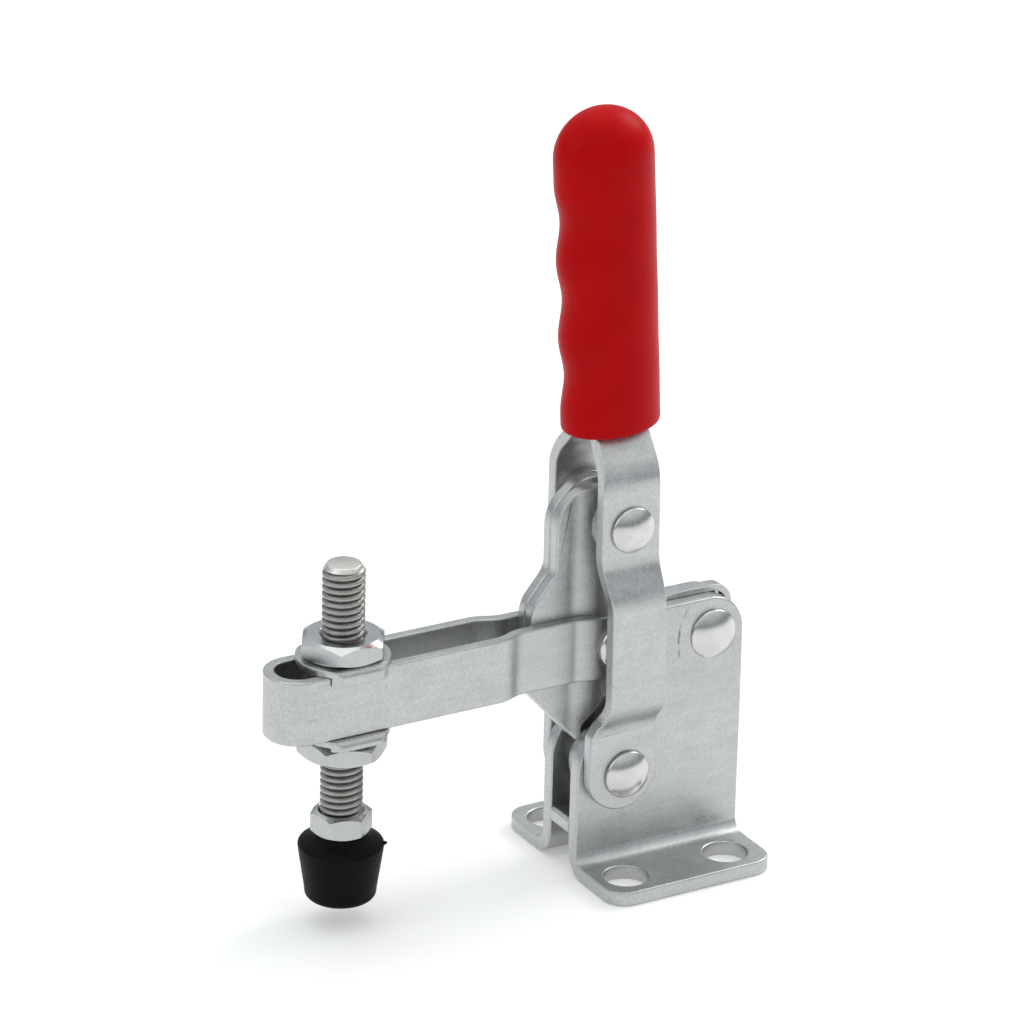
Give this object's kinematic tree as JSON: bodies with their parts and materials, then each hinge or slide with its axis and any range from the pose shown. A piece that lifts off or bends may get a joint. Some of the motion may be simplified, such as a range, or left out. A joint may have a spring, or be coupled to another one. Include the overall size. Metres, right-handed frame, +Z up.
{
  "type": "vertical handle toggle clamp",
  "caption": "Vertical-handle toggle clamp: folded steel base, riveted linkage, open holding bar with an adjustable rubber-tipped spindle and a moulded hand grip.",
  "frame": {"origin": "centre of the four base holes, on the underside of the base flanges", "axes": "+X from the base towards the clamping tip, +Y to the left side, +Z up along the clamped handle"},
  "size_m": [0.117, 0.0494, 0.1785],
  "materials": {
    "zinc_plated_steel": "bright zinc plating, satin",
    "bright_rivet": "bright formed rivet head",
    "threaded_steel": "zinc plated thread",
    "nut_steel": "zinc plated hexagon nut",
    "red_grip": "satin red moulded plastic",
    "black_rubber": "satin black rubber"
  },
  "bodies": {
    "base": {"base_plate_left": "zinc_plated_steel", "base_plate_right": "zinc_plated_steel", "base_bridge": "zinc_plated_steel", "front_pivot_rivet": "bright_rivet", "front_pivot_bush": "zinc_plated_steel", "rear_pivot_rivet": "bright_rivet"},
    "handle": {"handle_fork_left": "zinc_plated_steel", "handle_fork_right": "zinc_plated_steel", "handle_grip": "red_grip", "arm_pivot_rivet": "bright_rivet", "arm_pivot_collar_left": "zinc_plated_steel", "arm_pivot_collar_right": "zinc_plated_steel"},
    "arm": {"arm_bar": "zinc_plated_steel", "cheek_plate_left": "zinc_plated_steel", "cheek_plate_right": "zinc_plated_steel", "arm_pivot_spacer": "zinc_plated_steel", "link_pivot_rivet": "bright_rivet", "spindle": "threaded_steel", "upper_flanged_washer": "zinc_plated_steel", "upper_nut": "nut_steel", "lower_flanged_washer": "zinc_plated_steel", "lower_nut": "nut_steel", "tip_nut": "nut_steel", "rubber_tip": "black_rubber"},
    "link": {"centre_link": "zinc_plated_steel"}
  },
  "joints": [
    {"name": "handle_swing", "type": "hinge", "parent": "base", "child": "handle", "pos_m": [0.0098, 0, 0.0251], "axis": [0, -1, 0], "range_deg": [0, 48]},
    {"name": "arm_lift", "type": "hinge", "parent": "handle", "child": "arm", "pos_m": [0.0113, 0, 0.0848], "axis": [0, -1, 0], "range_deg": [0, 62.4]},
    {"name": "link_fold", "type": "hinge", "parent": "arm", "child": "link", "pos_m": [0.0106, 0, 0.055], "axis": [0, -1, 0], "range_deg": [-57.6, 0]}
  ],
  "couplings": [
    {"joint": "arm_lift", "follows": "handle_swing", "ratio": 1.3},
    {"joint": "link_fold", "follows": "handle_swing", "ratio": -1.2}
  ]
}
